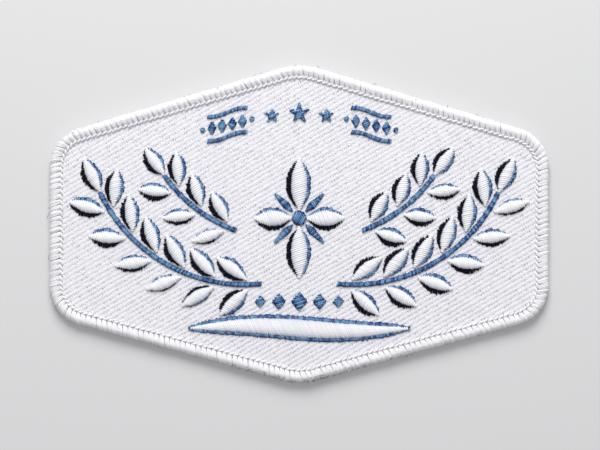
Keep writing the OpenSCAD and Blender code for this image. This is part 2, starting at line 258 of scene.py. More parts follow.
# loose fibres: tone at random from white to dark grey; the dark grey is painted shade, as on fibres lying in
# shade
fuzzLook = dict(
    light=(0.95, 0.95, 0.95), deep=(0.15, 0.145, 0.14), tone=1.2, plyValleyShade=0.0, fibre=0.3, ends=0.0,
    twist=1.5, bump=0.3, sheen=0.1, gloss=0.1, dull=0.3,
)
whiteSatin = yarnMaterial("white satin thread", whiteSatinLook)
blueSatin = yarnMaterial("blue satin thread", blueSatinLook)
blackSatin = yarnMaterial("black satin thread", blackSatinLook)
borderYarn = yarnMaterial("white border yarn", borderLook)
looseFibre = yarnMaterial("loose border fibre", fuzzLook)

# twill: ribs that rise to the right, and between them short dashes where the yarns dive; grooves and dashes are
# painted darker as shade
twill = dict(
    ribPitch=0.90, ribAngle=30.0, ribHeight=0.027, crestPower=0.7, cutsPerRib=4, dashPitch=0.52,
    cornerCuts=10, sharpAngle=0.6, cutReach=1e-7,
    light=(0.885, 0.878, 0.91), deep=(0.34, 0.325, 0.40),
    # scale and detail of each noise, and how far the yarns wander in it
    wanderNoise=(1500, 4), wander=0.56, fibreNoise=(4200, 4), cloudNoise=(260, 3), patchNoise=(1100, 4),
    # painted shade in the grooves, and in the pits in them, which come and go in patches
    grooveSharp=1.8, grooveShade=0.08, grooveDrop=0.6, pitSharp=1.5, pitShade=2.0, pitDrop=1.4,
    patchFrom=0.38, patchGain=2.8, weaveShade=0.55, fibreTone=1.6, cloudTone=0.16, toneFrom=0.85,
    bump=0.7, bumpDistance=0.1, dull=0.85, sheen=0.1, gloss=0.2,
)


# crest of the ribs, 0 to 1, and dashes along the grooves, each groove with a start of its own
def makeWeaveGroup():
    group, source, result = newGroup(
        "broken ribs",
        [("Vector", "NodeSocketVector", (0, 0, 0)), ("Rib Pitch", "NodeSocketFloat", 0.001),
         ("Rib Angle", "NodeSocketFloat", 0.0), ("Dash Pitch", "NodeSocketFloat", 0.001)],
        [("Crest", "NodeSocketFloat"), ("Dash", "NodeSocketFloat")])
    turn = group.nodes.new("ShaderNodeVectorRotate")
    turn.rotation_type = "Z_AXIS"
    group.links.new(source.outputs["Vector"], turn.inputs["Vector"])
    group.links.new(times(group, source.outputs["Rib Angle"], -1.0), turn.inputs["Angle"])
    parts = group.nodes.new("ShaderNodeSeparateXYZ")
    group.links.new(turn.outputs[0], parts.inputs[0])
    along, across = parts.outputs[:2]

    def wave(turns):
        swing = mathNode(group, "COSINE", times(group, turns, 2 * math.pi))
        return plus(group, times(group, swing, 0.5), 0.5)

    ribs = mathNode(group, "DIVIDE", across, source.outputs["Rib Pitch"])
    start = group.nodes.new("ShaderNodeTexWhiteNoise")
    start.noise_dimensions = "1D"
    group.links.new(mathNode(group, "FLOOR", ribs), start.inputs["W"])
    dashes = plus(group, mathNode(group, "DIVIDE", along, source.outputs["Dash Pitch"]), start.outputs["Value"])
    group.links.new(wave(ribs), result.inputs["Crest"])
    group.links.new(wave(dashes), result.inputs["Dash"])
    return group


weaveGroup = makeWeaveGroup()


def makeTwillMaterial():
    material, tree, shader = newMaterial("white twill")
    place = tree.nodes.new("ShaderNodeTexCoord").outputs["Object"]
    moved = tree.nodes.new("ShaderNodeVectorMath")
    moved.operation = "MULTIPLY_ADD"
    tree.links.new(noiseNode(tree, place, *twill["wanderNoise"])["Color"], moved.inputs[0])
    moved.inputs[1].default_value = (twill["wander"] * mm, twill["wander"] * mm, 0)
    tree.links.new(place, moved.inputs[2])
    weave = tree.nodes.new("ShaderNodeGroup")
    weave.node_tree = weaveGroup
    weave.inputs["Rib Pitch"].default_value = twill["ribPitch"] * mm
    weave.inputs["Rib Angle"].default_value = math.radians(twill["ribAngle"])
    weave.inputs["Dash Pitch"].default_value = twill["dashPitch"] * mm
    tree.links.new(moved.outputs[0], weave.inputs["Vector"])
    fibre, cloudy, patchy = (noiseNode(tree, place, *twill[key])["Fac"]
                             for key in ("fibreNoise", "cloudNoise", "patchNoise"))
    # painted shade: darker in the grooves between the ribs, darker still in patches of pits; fibre and cloud
    # noise add tone at random
    groove = mathNode(tree, "POWER", minus(tree, 1.0, weave.outputs["Crest"]), twill["grooveSharp"])
    pitPatches = times(tree, minus(tree, patchy, twill["patchFrom"]), twill["patchGain"], clamp=True)
    pits = times(tree, mathNode(tree, "POWER", weave.outputs["Dash"], twill["pitSharp"]), pitPatches)
    shadeAndMottle = times(tree, groove, plus(tree, times(tree, pits, twill["pitShade"]), twill["grooveShade"]))
    shadeAndMottle = times(tree, shadeAndMottle, twill["weaveShade"])
    shadeAndMottle = plus(tree, shadeAndMottle, times(tree, fibre, twill["fibreTone"]))
    shadeAndMottle = plus(tree, shadeAndMottle, times(tree, cloudy, twill["cloudTone"]))
    shadeAndMottle = minus(tree, shadeAndMottle, twill["toneFrom"], clamp=True)
    color = mixColor(tree, shadeAndMottle, (*twill["light"], 1), (*twill["deep"], 1))
    tree.links.new(color, shader.inputs["Base Color"])
    shader.inputs["Roughness"].default_value = twill["dull"]
    height = plus(tree, times(tree, times(tree, pits, groove), -twill["pitDrop"]), fibre)
    height = minus(tree, height, times(tree, groove, twill["grooveDrop"]))
    finishFibres(tree, shader, height, twill, twill["bumpDistance"])
    return material


twillCloth = makeTwillMaterial()
print("materials made")


# threads into pieces

def addPiece(mesh, name, material, nodes):
    piece = bpy.data.objects.new(name, mesh)
    scene.collection.objects.link(piece)
    mesh.materials.clear()
    mesh.materials.append(material)
    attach(piece, "root")
    if nodes:
        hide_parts(*nodes)
    return piece


# strands are lists of points in mm; loops close on themselves
def strandMesh(name, strands, radius, roundness=1, loops=False):
    curve = bpy.data.curves.new(name + "Path", "CURVE")
    curve.dimensions = "3D"
    curve.bevel_depth = radius * mm
    curve.bevel_resolution = roundness
    for strand in strands:
        spline = curve.splines.new("POLY")
        spline.points.add(len(strand) - 1)
        for knot, place in zip(spline.points, strand):
            knot.co = (place[0] * mm, place[1] * mm, place[2] * mm, 1)
        spline.use_cyclic_u = loops
    holder = bpy.data.objects.new(name + "Path", curve)
    scene.collection.objects.link(holder)
    bpy.context.view_layer.update()
    depsgraph = bpy.context.evaluated_depsgraph_get()
    mesh = bpy.data.meshes.new_from_object(holder.evaluated_get(depsgraph))
    mesh.name = name
    bpy.data.objects.remove(holder)
    bpy.data.curves.remove(curve)
    for face in mesh.polygons:
        face.use_smooth = True
    # a tone for each strand, how near an end is, for the painted shade at the ends, and the way along with the
    # angle round it, for the plies
    ringSize = len(mesh.vertices) // sum(len(strand) for strand in strands)
    toneValues, endValues, wayValues = [], [], []
    for strand in strands:
        tone = dice.random()
        start = dice.random()
        steps = [0.0] + [math.dist(a, b) for a, b in zip(strand, strand[1:])]
        gone = 0.0
        for step in steps:
            gone += step
            nearEnd = 0.0 if loops else abs(2 * gone / sum(steps) - 1) ** 3
            for side in range(ringSize):
                a = 2 * math.pi * side / ringSize
                toneValues.append(tone)
                endValues.append(nearEnd)
                wayValues.extend((start + gone, math.cos(a), math.sin(a)))
    mesh.attributes.new("strandTone", "FLOAT", "POINT").data.foreach_set("value", toneValues)
    mesh.attributes.new("strandEndShade", "FLOAT", "POINT").data.foreach_set("value", endValues)
    mesh.attributes.new("strandWay", "FLOAT_VECTOR", "POINT").data.foreach_set("vector", wayValues)
    if not loops:
        bm = bmesh.new()
        bm.from_mesh(mesh)
        bmesh.ops.holes_fill(bm, edges=bm.edges[:], sides=ringSize)
        bm.to_mesh(mesh)
        bm.free()
    return mesh


satin = dict(
    pitch=0.42, radius=0.252, finePitch=0.36, fineRadius=0.175, slant=0.35, footLift=0.02,
    lift=0.06, liftRange=(-1, 0.4),
    # strays of a thread's end: least, most, and the share of the jitter
    jitter=0.18, leafStray=(-0.5, 1, 0.6), edgeStray=(-1, 0.8, 1), fillStray=(-0.4, 1, 0.5),
    bandStray=(-0.6, 1, 0.6), hemStray=(-1, 1, 0.8),
    # knots of a thread across a form, from side to side, and how its arch rises between them
    knots=(-1, -0.9, -0.62, -0.22, 0.22, 0.62, 0.9, 1), archPower=2.2, archFlat=0.55,
    bandKnots=(-1, -0.7, 0, 0.7, 1), fillKnots=(-1, -0.75, -0.3, 0.3, 0.75, 1), fillPower=3,
    risingKnots=((0.0, 0.75), (0.35, 1.0), (0.72, 0.8), (1.0, 0.0)),
)
# material, slot and thickness of each colour of satin
satinThreads = dict(
    white=(whiteSatin, "white_satin_thread", satin["radius"]),
    blue=(blueSatin, "blue_satin_thread", satin["fineRadius"]),
    black=(blackSatin, "black_satin_thread", satin["fineRadius"]),
)


def satinPiece(name, colour, threads, *nodes):
    material, slotName, radius = satinThreads[colour]
    return addPiece(strandMesh(name, threads, radius), name, material, nodes)


def stray(kind):
    least, most, share = satin[kind]
    return dice.uniform(least, most) * satin["jitter"] * share


# one thread over a padded form: from a to b, rising to the crest between them
def archedThread(a, b, crest, radius=satin["radius"], power=satin["archPower"], knots=satin["knots"]):
    crest += dice.uniform(*satin["liftRange"]) * satin["lift"]
    points = []
    for v in knots:
        rise = max(0.0, 1 - abs(v) ** power) ** satin["archFlat"]
        z = clothTop + satin["footLift"] + max(0.0, crest - radius) * rise
        points.append((*between(a, b, (v + 1) / 2), z))
    return points


# short thread that leaves the side of a padded form and comes down to the cloth
def risingThread(a, b):
    top = patch["edgeRise"] - satin["fineRadius"]
    return [(*between(a, b, share), clothTop + satin["footLift"] + top * rise)
            for share, rise in satin["risingKnots"]]


# threads that fill an outline given as points, at an angle in degrees
filling = dict(shortest=0.12, tilt=0.05, dome=0.4, domePower=2.5)


def fillThreads(outline, angle, crest, pitch=satin["finePitch"]):
    flat = [turned(x, y, -angle) for x, y in outline]
    low, high = min(p[1] for p in flat), max(p[1] for p in flat)
    rows = max(2, round((high - low) / pitch))
    threads = []
    for k in range(rows):
        level = low + (high - low) * (k + 0.5) / rows
        hits = []
        for p, q in zip(flat, flat[1:] + flat[:1]):
            if (p[1] > level) != (q[1] > level):
                hits.append(p[0] + (q[0] - p[0]) * (level - p[1]) / (q[1] - p[1]))
        hits.sort()
        for left, right in zip(hits[::2], hits[1::2]):
            if right - left < filling["shortest"]:
                continue
            swing = stray("fillStray")
            a = turned(left - swing, level - filling["tilt"], angle)
            b = turned(right + swing, level + filling["tilt"], angle)
            domed = crest * (1 - filling["dome"] * abs(2 * (k + 0.5) / rows - 1) ** filling["domePower"])
            threads.append(archedThread(a, b, domed, satin["fineRadius"],
                                        satin["fillPower"], satin["fillKnots"]))
    return threads


# threads across a band given by a middle line; each line point is x, y, heading
band = dict(trim=0.06, tilt=0.12)


def bandThreads(line, width, crest):
    threads = []
    for x, y, heading in line:
        half = width / 2 - band["trim"] + stray("bandStray")
        ax, ay = turned(band["tilt"], half, heading)
        bx, by = turned(-band["tilt"], -half, heading)
        threads.append(archedThread((x + ax, y + ay), (x + bx, y + by), crest, satin["fineRadius"],
                                    knots=satin["bandKnots"]))
    return threads


# a line of the right side, or the same line on the left
def onSide(line, sign):
    return [(sign * x, y, h if sign > 0 else 180 - h) for x, y, h in line]


# padded leaves, and petals of the same form; each row is one leaf, from its foot x, y along its heading
leaf = dict(endFall=0.55, fewest=4, narrowest=0.1, shortest=0.08, tip=0.02)
# shading beside a leaf: black on one side, blue on the other, thin where one turns into the other
shading = dict(least=0.35, fullLean=0.45, reach=0.48, thinnest=0.14, tucked=0.22, skew=0.12, skewStray=0.07)


def leafHalf(row, along):
    long, wide = row["long"], row["wide"]
    radius = (long * long / 4 + wide * wide / 4) / wide
    return math.sqrt(max(0.0, radius * radius - (along - long / 2) ** 2)) - radius + wide / 2


def onLeaf(row, along, across):
    dx, dy = turned(along, across, row["head"])
    return row["x"] + dx, row["y"] + dy


def leafThreads(row):
    threads = []
    long = row["long"]
    count = max(leaf["fewest"], round(long / satin["pitch"]))
    for k in range(count):
        along = long * (k + 0.5) / count
        fall = (2 * along / long - 1) ** 2
        lean = satin["slant"] * max(leaf["narrowest"], leafHalf(row, along))
        ends = []
        for side in (1, -1):
            at = min(max(along - side * lean, leaf["tip"] * long), (1 - leaf["tip"]) * long)
            reach = max(leaf["shortest"], leafHalf(row, at)) + stray("leafStray")
            ends.append(onLeaf(row, at, side * reach))
        threads.append(archedThread(*ends, patch["whiteRise"] * (1 - leaf["endFall"] * fall)))
    return threads


# above 0 on the side that is shaded black, below 0 on the blue side
def leanOf(heading):
    return -cosOf(heading - patch["shadeFrom"])


def edgeWidth(heading):
    lean = leanOf(heading)
    widest = patch["blackEdge"] if lean > 0 else patch["blueEdge"]
    return widest * (shading["least"] + (1 - shading["least"]) * ease(abs(lean) / shading["fullLean"]))


# threads of the shading beside a leaf; tone 1 is black, -1 is blue
def edgeThreads(row, tone):
    threads = []
    for side in (1, -1):
        heading = row["head"] + side * 90
        if leanOf(heading) * tone <= 0:
            continue
        width = edgeWidth(heading)
        reach = shading["reach"] * row["long"]
        count = round(2 * reach / satin["finePitch"])
        for k in range(count):
            away = reach * (2 * (k + 0.5) / count - 1)
            thick = width * (1 - (away / reach) ** 2)
            if thick < shading["thinnest"]:
                continue
            along = row["long"] / 2 + away
            inner = leafHalf(row, along)
            outer = inner + patch["gap"] + thick + stray("edgeStray")
            skew = shading["skew"] + dice.uniform(-shading["skewStray"], shading["skewStray"])
            threads.append(risingThread(
                onLeaf(row, along - skew, side * (inner - shading["tucked"])),
                onLeaf(row, along + skew, side * (outer - satin["fineRadius"] / 2)),
            ))
    return threads


# leaves with their black and blue shading, as three pieces
def sewLeaves(name, node, kind, rows):
    satinPiece(name + kind.capitalize(), "white", [t for row in rows for t in leafThreads(row)],
               f"{node}_{kind}")
    satinPiece(name + "BlackEdges", "black", [t for row in rows for t in edgeThreads(row, 1)],
               node + "_black_edges")
    satinPiece(name + "BlueEdges", "blue", [t for row in rows for t in edgeThreads(row, -1)],
               node + "_blue_edges")


# laurel sprays; places and lengths are shares of the artwork's width
laurel = dict(
    stemWidth=0.9, splay=40.0, clearFrom=0.06, clearStep=0.02, clearSteps=33, spareRows=0.1, firstRow=0.75,
    sprays=[
        dict(x=0.085, y=-0.136, head=-6, radius=0.360, bend=71, leafLong=0.083, leafWide=0.0240),
        dict(x=0.142, y=-0.016, head=20, radius=0.340, bend=35, leafLong=0.074, leafWide=0.0220),
    ],
)


def stemPoint(spray, along):
    radius = spray["radius"] * artWidth
    turn = along / radius
    h = math.radians(spray["head"])
    return (spray["x"] * artWidth + radius * (math.sin(h + turn) - math.sin(h)),
            spray["y"] * artWidth - radius * (math.cos(h + turn) - math.cos(h)),
            spray["head"] + math.degrees(turn))


def stemLong(spray):
    return spray["radius"] * artWidth * math.radians(spray["bend"])


# way from the stem's middle line to a leaf's foot, so that the leaf's shading clears the stem
def leafFoot(long, wide, stemRadius):
    splay = laurel["splay"]
    clear = []
    for k in range(laurel["clearSteps"]):
        t = laurel["clearFrom"] + laurel["clearStep"] * k
        edge = patch["blackEdge"] * (1 - ((0.5 - t) / shading["reach"]) ** 2)
        side = 2 * wide * t * (1 - t) + clearance + edge
        bow = ((t * long + laurel["stemWidth"]) * cosOf(splay)) ** 2 / (2 * stemRadius * sinOf(splay))
        clear.append(side / tanOf(splay) - t * long + bow)
    return (laurel["stemWidth"] / 2 + patch["gap"]) / sinOf(splay) + max(clear)


def sprayLeaves(spray):
    long, wide = spray["leafLong"] * artWidth, spray["leafWide"] * artWidth
    total = stemLong(spray)
    splay = laurel["splay"]
    pitch = (wide + patch["blackEdge"] + patch["blueEdge"] + clearance) / sinOf(splay)
    foot = leafFoot(long, wide, spray["radius"] * artWidth)
    rows = []
    for k in range(math.floor(total / pitch + laurel["spareRows"])):
        x, y, h = stemPoint(spray, total - pitch * (k + laurel["firstRow"]))
        for side in (1, -1):
            dx, dy = turned(foot, 0, h + side * splay)
            rows.append(dict(x=x + dx, y=y + dy, head=h + side * splay, long=long, wide=wide))
    x, y, h = stemPoint(spray, total)
    dx, dy = turned(patch["gap"], 0, h)
    rows.append(dict(x=x + dx, y=y + dy, head=h, long=long, wide=wide))
    return rows


rightLeaves = [row for spray in laurel["sprays"] for row in sprayLeaves(spray)]
leftLeaves = [dict(row, x=-row["x"], head=180 - row["head"]) for row in rightLeaves]
stemLines = []
for spray in laurel["sprays"]:
    count = round(stemLong(spray) / satin["finePitch"])
    stemLines.append([stemPoint(spray, stemLong(spray) * (k + 0.5) / count) for k in range(count)])

for side, rows, sign in (("left", leftLeaves, -1), ("right", rightLeaves, 1)):
    name, node = "laurel" + side.capitalize(), "laurel_" + side
    sewLeaves(name, node, "leaves", rows)
    stems = [onSide(line, sign) for line in stemLines]
    satinPiece(name + "Stems", "blue",
               [t for line in stems for t in bandThreads(line, laurel["stemWidth"], patch["blueRise"])],
               node + "_stems")
print("laurel sewn")

# compass rose
rose = dict(
    y=0.012, hubRadius=1.4, hubSides=24, hubStitch=60,
    rayLong=0.062, rayWide=0.0155, rayWidest=0.3, rayTurns=(45, 135, 225, 315), rayStitch=75,
    petals=[dict(head=0, long=0.085, wide=0.034), dict(head=90, long=0.118, wide=0.036),
            dict(head=180, long=0.085, wide=0.034), dict(head=270, long=0.118, wide=0.036)],
)
roseY = rose["y"] * artWidth
petals = []
for petal in rose["petals"]:
    dx, dy = turned(rose["hubRadius"] + patch["gap"], 0, petal["head"])
    petals.append(dict(x=dx, y=roseY + dy, head=petal["head"],
                       long=petal["long"] * artWidth, wide=petal["wide"] * artWidth))
sewLeaves("compass", "compass", "petals", petals)


def placed(shape, x, y, degrees):
    return [(x + px, y + py) for px, py in (turned(qx, qy, degrees) for qx, qy in shape)]


rayLong, rayWide = rose["rayLong"] * artWidth, rose["rayWide"] * artWidth
rayMiddle = rose["rayWidest"] * rayLong
rayShape = [(0, 0), (rayMiddle, -rayWide / 2), (rayLong, 0), (rayMiddle, rayWide / 2)]
rayThreads = []
for turn in rose["rayTurns"]:
    dx, dy = turned(rose["hubRadius"] + clearance, 0, turn)
    rayThreads += fillThreads(placed(rayShape, dx, roseY + dy, turn), turn + rose["rayStitch"],
                              patch["blueRise"])
satinPiece("compassRays", "blue", rayThreads, "compass_rays")
hubOutline = [turned(rose["hubRadius"], 0, 360 / rose["hubSides"] * k) for k in range(rose["hubSides"])]
hubThreads = fillThreads(placed(hubOutline, 0, roseY, 0), rose["hubStitch"], patch["whiteRise"])
satinPiece("compassHub", "blue", hubThreads, "compass_hub")
print("compass rose sewn")

# stars, bars and diamonds
topArt = dict(
    starRadius=2.1, smallStarRadius=1.52, starSpread=1.9, starY=0.3475, starDrop=0.0065,
    starInner=0.4, starStitch=12, starPitch=0.32, starExtra=0.08,
    panelAway=0.084, panelY=0.3115, slope=-13, barLong=0.0905, barAway=0.0235, barWave=0.003, barWidth=0.7,
)
# diamonds of a row: place along it, half width and half height, as shares of the artwork's width
gems = dict(
    panel=[(-0.0555, 0.0060, 0.0060), (-0.0345, 0.0092, 0.0145), (-0.0115, 0.0092, 0.0145),
           (0.0115, 0.0092, 0.0145), (0.0345, 0.0092, 0.0145), (0.0555, 0.0060, 0.0060)],
    lower=[(-0.088, 0.0120, 0.0130), (-0.046, 0.0155, 0.0170), (0.0, 0.0185, 0.0205),
           (0.046, 0.0155, 0.0170), (0.088, 0.0120, 0.0130)],
    panelStitch=20, lowerStitch=15, lowerY=-0.2455, lowerExtra=0.05,
)


def starOutline(radius):
    inner = topArt["starInner"] * radius
    return [turned(radius if k % 2 == 0 else inner, 0, 90 + 36 * k) for k in range(10)]


starGap = topArt["starRadius"] + topArt["starSpread"] + topArt["smallStarRadius"]
starY = topArt["starY"] * patch["height"]
sideStarY = (topArt["starY"] - topArt["starDrop"]) * patch["height"]
for name, node, x, y, radius in (
        ("starCentre", "star_centre", 0, starY, topArt["starRadius"]),
        ("starLeft", "star_left", -starGap, sideStarY, topArt["smallStarRadius"]),
        ("starRight", "star_right", starGap, sideStarY, topArt["smallStarRadius"])):
    threads = fillThreads(placed(starOutline(radius), x, y, 0), topArt["starStitch"],
                          patch["blueRise"] + topArt["starExtra"], topArt["starPitch"])
    satinPiece(name, "blue", threads, node)

panelX = starGap + topArt["smallStarRadius"] + topArt["panelAway"] * artWidth
panelY = topArt["panelY"] * patch["height"]


# middle lines of the right pair of bars, one straight above the other
def panelBars():
    lines = []
    long, away, wave = (topArt[key] * artWidth for key in ("barLong", "barAway", "barWave"))
    slope = tanOf(topArt["slope"])
    count = round(long / satin["finePitch"])
    for level in (-1, 1):
        line = []
        for k in range(count):
            t = (k + 0.5) / count
            x = (t - 0.5) * long
            y = x * slope + wave * math.sin(2 * math.pi * t) + level * (away + topArt["barWidth"] / 2)
            steep = slope + wave * 2 * math.pi * math.cos(2 * math.pi * t) / long
            line.append((panelX + x, panelY + y, math.degrees(math.atan(steep))))
        lines.append(line)
    return lines


def gemOutline(x, y, wide, tall):
    wide, tall = wide * artWidth, tall * artWidth
    return [(x + wide, y), (x, y + tall), (x - wide, y), (x, y - tall)]


for side, sign in (("left", -1), ("right", 1)):
    label = side.capitalize()
    threads = []
    for line in panelBars():
        threads += bandThreads(onSide(line, sign), topArt["barWidth"], patch["blueRise"])
    satinPiece("bars" + label, "blue", threads, "bars_" + side)
    threads = []
    for along, wide, tall in gems["panel"]:
        x = along * artWidth
        outline = gemOutline(sign * (panelX + x), panelY + x * tanOf(topArt["slope"]), wide, tall)
        threads += fillThreads(outline, gems["panelStitch"] * sign, patch["blueRise"])
    satinPiece("diamonds" + label, "blue", threads, "diamonds_" + side)
threads = []
for along, wide, tall in gems["lower"]:
    outline = gemOutline(along * artWidth, gems["lowerY"] * patch["height"], wide, tall)
    threads += fillThreads(outline, gems["lowerStitch"], patch["blueRise"] + gems["lowerExtra"])
satinPiece("diamondsLower", "blue", threads, "diamonds_lower")
print("stars, bars and diamonds sewn")

# pennant
pennant = dict(
    y=-0.3295, half=0.250, fat=0.0195, fatPower=0.8, wave=0.006, slant=0.5, thinnest=0.12,
    # crest of the body: at its thin ends, and how much it gains up to full fatness
    crest=0.7, thinCrest=0.55, crestGain=0.45, fullFat=1.2, extra=0.12,
    # hem: share of its width at the ends, where it is full, how far it lies under, and its skew
    hemEnds=0.4, hemFull=0.12, hemUnder=0.15, hemEndUnder=-0.05, hemEndShare=0.01, hemSkew=0.12,
)


# point of the pennant's edge, moved outwards, and half the height of the body there
def pennantEdge(t, side, out):
    t = max(0.0, min(1.0, t))
    middle = pennant["y"] * patch["height"] + pennant["wave"] * artWidth * math.sin(2 * math.pi * t)
    fat = pennant["fat"] * artWidth * math.sin(math.pi * t) ** pennant["fatPower"]
    return ((2 * t - 1) * pennant["half"] * artWidth, middle + side * (fat + out)), fat


def pennantThreads():
    body, edges = [], {1: [], -1: []}
    total = 2 * pennant["half"] * artWidth
    count = round(total / satin["pitch"])
    for k in range(count):
        t = (k + 0.5) / count
        fat = pennantEdge(t, 1, 0)[1]
        lean = pennant["slant"] * fat / total
        if fat > pennant["thinnest"]:
            swing = stray("leafStray")
            a = pennantEdge(t - lean, 1, swing)[0]
            b = pennantEdge(t + lean, -1, swing)[0]
            full = pennant["thinCrest"] + pennant["crestGain"] * min(1.0, fat / pennant["fullFat"])
            body.append(archedThread(a, b, pennant["crest"] * full + pennant["extra"]))
    count = round(total / satin["finePitch"])
    skew = pennant["hemSkew"] / total
    for k in range(count):
        t = (k + 0.5) / count
        grown = ease(min(t, 1 - t) / pennant["hemFull"])
        thin = patch["blueEdge"] * (pennant["hemEnds"] + (1 - pennant["hemEnds"]) * grown)
        atEnd = not pennant["hemEndShare"] < t < 1 - pennant["hemEndShare"]
        under = pennant["hemEndUnder"] if atEnd else pennant["hemUnder"]
        for side in (1, -1):
            jag = stray("hemStray")
            inner = pennantEdge(t - skew, side, -under)[0]
            outer = pennantEdge(t + skew, side, patch["gap"] + thin - satin["fineRadius"] / 2 + jag)[0]
            edges[side].append(risingThread(inner, outer))
    return body, edges


bodyThreads, hemThreads = pennantThreads()
satinPiece("pennantBody", "white", bodyThreads, "pennant_body")
satinPiece("pennantUpperEdge", "blue", hemThreads[1], "pennant_upper_edge")
satinPiece("pennantLowerEdge", "blue", hemThreads[-1], "pennant_lower_edge")
print("pennant sewn")

# outline of the patch
halfWidth = patch["width"] / 2
topPoint = patch["height"] / 2 + patch["pointRadius"] * (1 / cosOf(patch["topSlope"]) - 1)
bottomPoint = -patch["height"] / 2 - patch["pointRadius"] * (1 / cosOf(patch["bottomSlope"]) - 1)
topSide = topPoint - halfWidth * tanOf(patch["topSlope"])
bottomSide = bottomPoint + halfWidth * tanOf(patch["bottomSlope"])
corners = [
    dict(x=halfWidth, y=bottomSide, turn=90 - patch["bottomSlope"], radius=patch["sideRadius"]),
    dict(x=halfWidth, y=topSide, turn=90 - patch["topSlope"], radius=patch["sideRadius"]),
    dict(x=0, y=topPoint, turn=2 * patch["topSlope"], radius=patch["pointRadius"]),
    dict(x=-halfWidth, y=topSide, turn=90 - patch["topSlope"], radius=patch["sideRadius"]),
    dict(x=-halfWidth, y=bottomSide, turn=90 - patch["bottomSlope"], radius=patch["sideRadius"]),
    dict(x=0, y=bottomPoint, turn=2 * patch["bottomSlope"], radius=patch["pointRadius"]),
]
for k, corner in enumerate(corners):
    before = corners[k - 1]
    corner["head"] = math.degrees(math.atan2(corner["y"] - before["y"], corner["x"] - before["x"]))
    reach = corner["radius"] * tanOf(corner["turn"] / 2)
    dx, dy = turned(-reach, corner["radius"], corner["head"])
    corner["cx"], corner["cy"] = corner["x"] + dx, corner["y"] + dy


# runs and arcs of the line that lies inset from the outline, each with its length
def insetRoute(inset):
    route = []
    for k, corner in enumerate(corners):
        radius = corner["radius"] - inset
        long = radius * math.radians(corner["turn"])
        route.append(dict(kind="arc", corner=corner, radius=radius, long=long))
        after = corners[(k + 1) % len(corners)]
        x0, y0 = turned(0, -radius, corner["head"] + corner["turn"])
        x1, y1 = turned(0, inset - after["radius"], after["head"])
        start = (corner["cx"] + x0, corner["cy"] + y0)
        end = (after["cx"] + x1, after["cy"] + y1)
        route.append(dict(kind="run", start=start, end=end, head=after["head"], long=math.dist(start, end)))
    return route


def routeLong(route):
    return sum(step["long"] for step in route)


def routePoint(route, along):
    for step in route:
        if along <= step["long"]:
            break
        along -= step["long"]
    share = along / step["long"]
    if step["kind"] == "run":
        return (*between(step["start"], step["end"], share), step["head"])
    corner = step["corner"]
    head = corner["head"] + corner["turn"] * share
    dx, dy = turned(0, -step["radius"], head)
    return corner["cx"] + dx, corner["cy"] + dy, head


# twill ground
def makeTwill():
    bm = bmesh.new()
    points, reaches = [], []
    for corner in corners:
        # sharp corner of the inset outline
        away = corner["radius"] - clothInset
        reach = away * tanOf(corner["turn"] / 2)
        dx, dy = turned(reach, -away, corner["head"])
        points.append(bm.verts.new(((corner["cx"] + dx) * mm, (corner["cy"] + dy) * mm, clothTop * mm)))
        reaches.append(reach)
    bm.faces.new(points)
    for point, reach in zip(points, reaches):
        bmesh.ops.bevel(bm, geom=[point], affect="VERTICES", offset=reach * mm, offset_type="OFFSET",
                        segments=twill["cornerCuts"], profile=0.5, material=-1)
    # cuts along the ribs
    across = Vector((-sinOf(twill["ribAngle"]), cosOf(twill["ribAngle"]), 0))
    step = twill["ribPitch"] / twill["cutsPerRib"]
    limit = math.floor((halfWidth * abs(across.x) + patch["height"] / 2 * across.y) / step)
    for k in range(-limit, limit + 1):
        bmesh.ops.bisect_plane(bm, geom=bm.verts[:] + bm.edges[:] + bm.faces[:], dist=twill["cutReach"],
                               plane_co=across * (k * step * mm), plane_no=across)
    # edge of the cloth and its back
    rim = [edge for edge in bm.edges if edge.is_boundary]
    wall = bmesh.ops.extrude_edge_only(bm, edges=rim)["geom"]
    low = {v for v in wall if isinstance(v, bmesh.types.BMVert)}
    for v in low:
        v.co.z = patch["clothLift"] * mm
    bmesh.ops.contextual_create(bm, geom=[edge for edge in bm.edges if edge.is_boundary])
    bmesh.ops.recalc_face_normals(bm, faces=bm.faces[:])
    # ribs
    for v in bm.verts:
        if v not in low:
            phase = across.dot(v.co) / (twill["ribPitch"] * mm)
            crest = 0.5 + 0.5 * math.cos(2 * math.pi * phase)
            v.co.z += (crest ** twill["crestPower"] - 0.5) * twill["ribHeight"] * mm
    for edge in bm.edges:
        edge.smooth = edge.calc_face_angle(0) < twill["sharpAngle"]
    mesh = bpy.data.meshes.new("twillGround")
    bm.to_mesh(mesh)
    bm.free()
    middle = (patch["clothLift"] + patch["clothThick"] / 2) * mm
    for face in mesh.polygons:
        face.use_smooth = abs(face.normal.z) > 0.5 and face.center.z > middle
    return mesh


ground = addPiece(makeTwill(), "twillGround", twillCloth, ["twill_ground"])
print("twill woven")

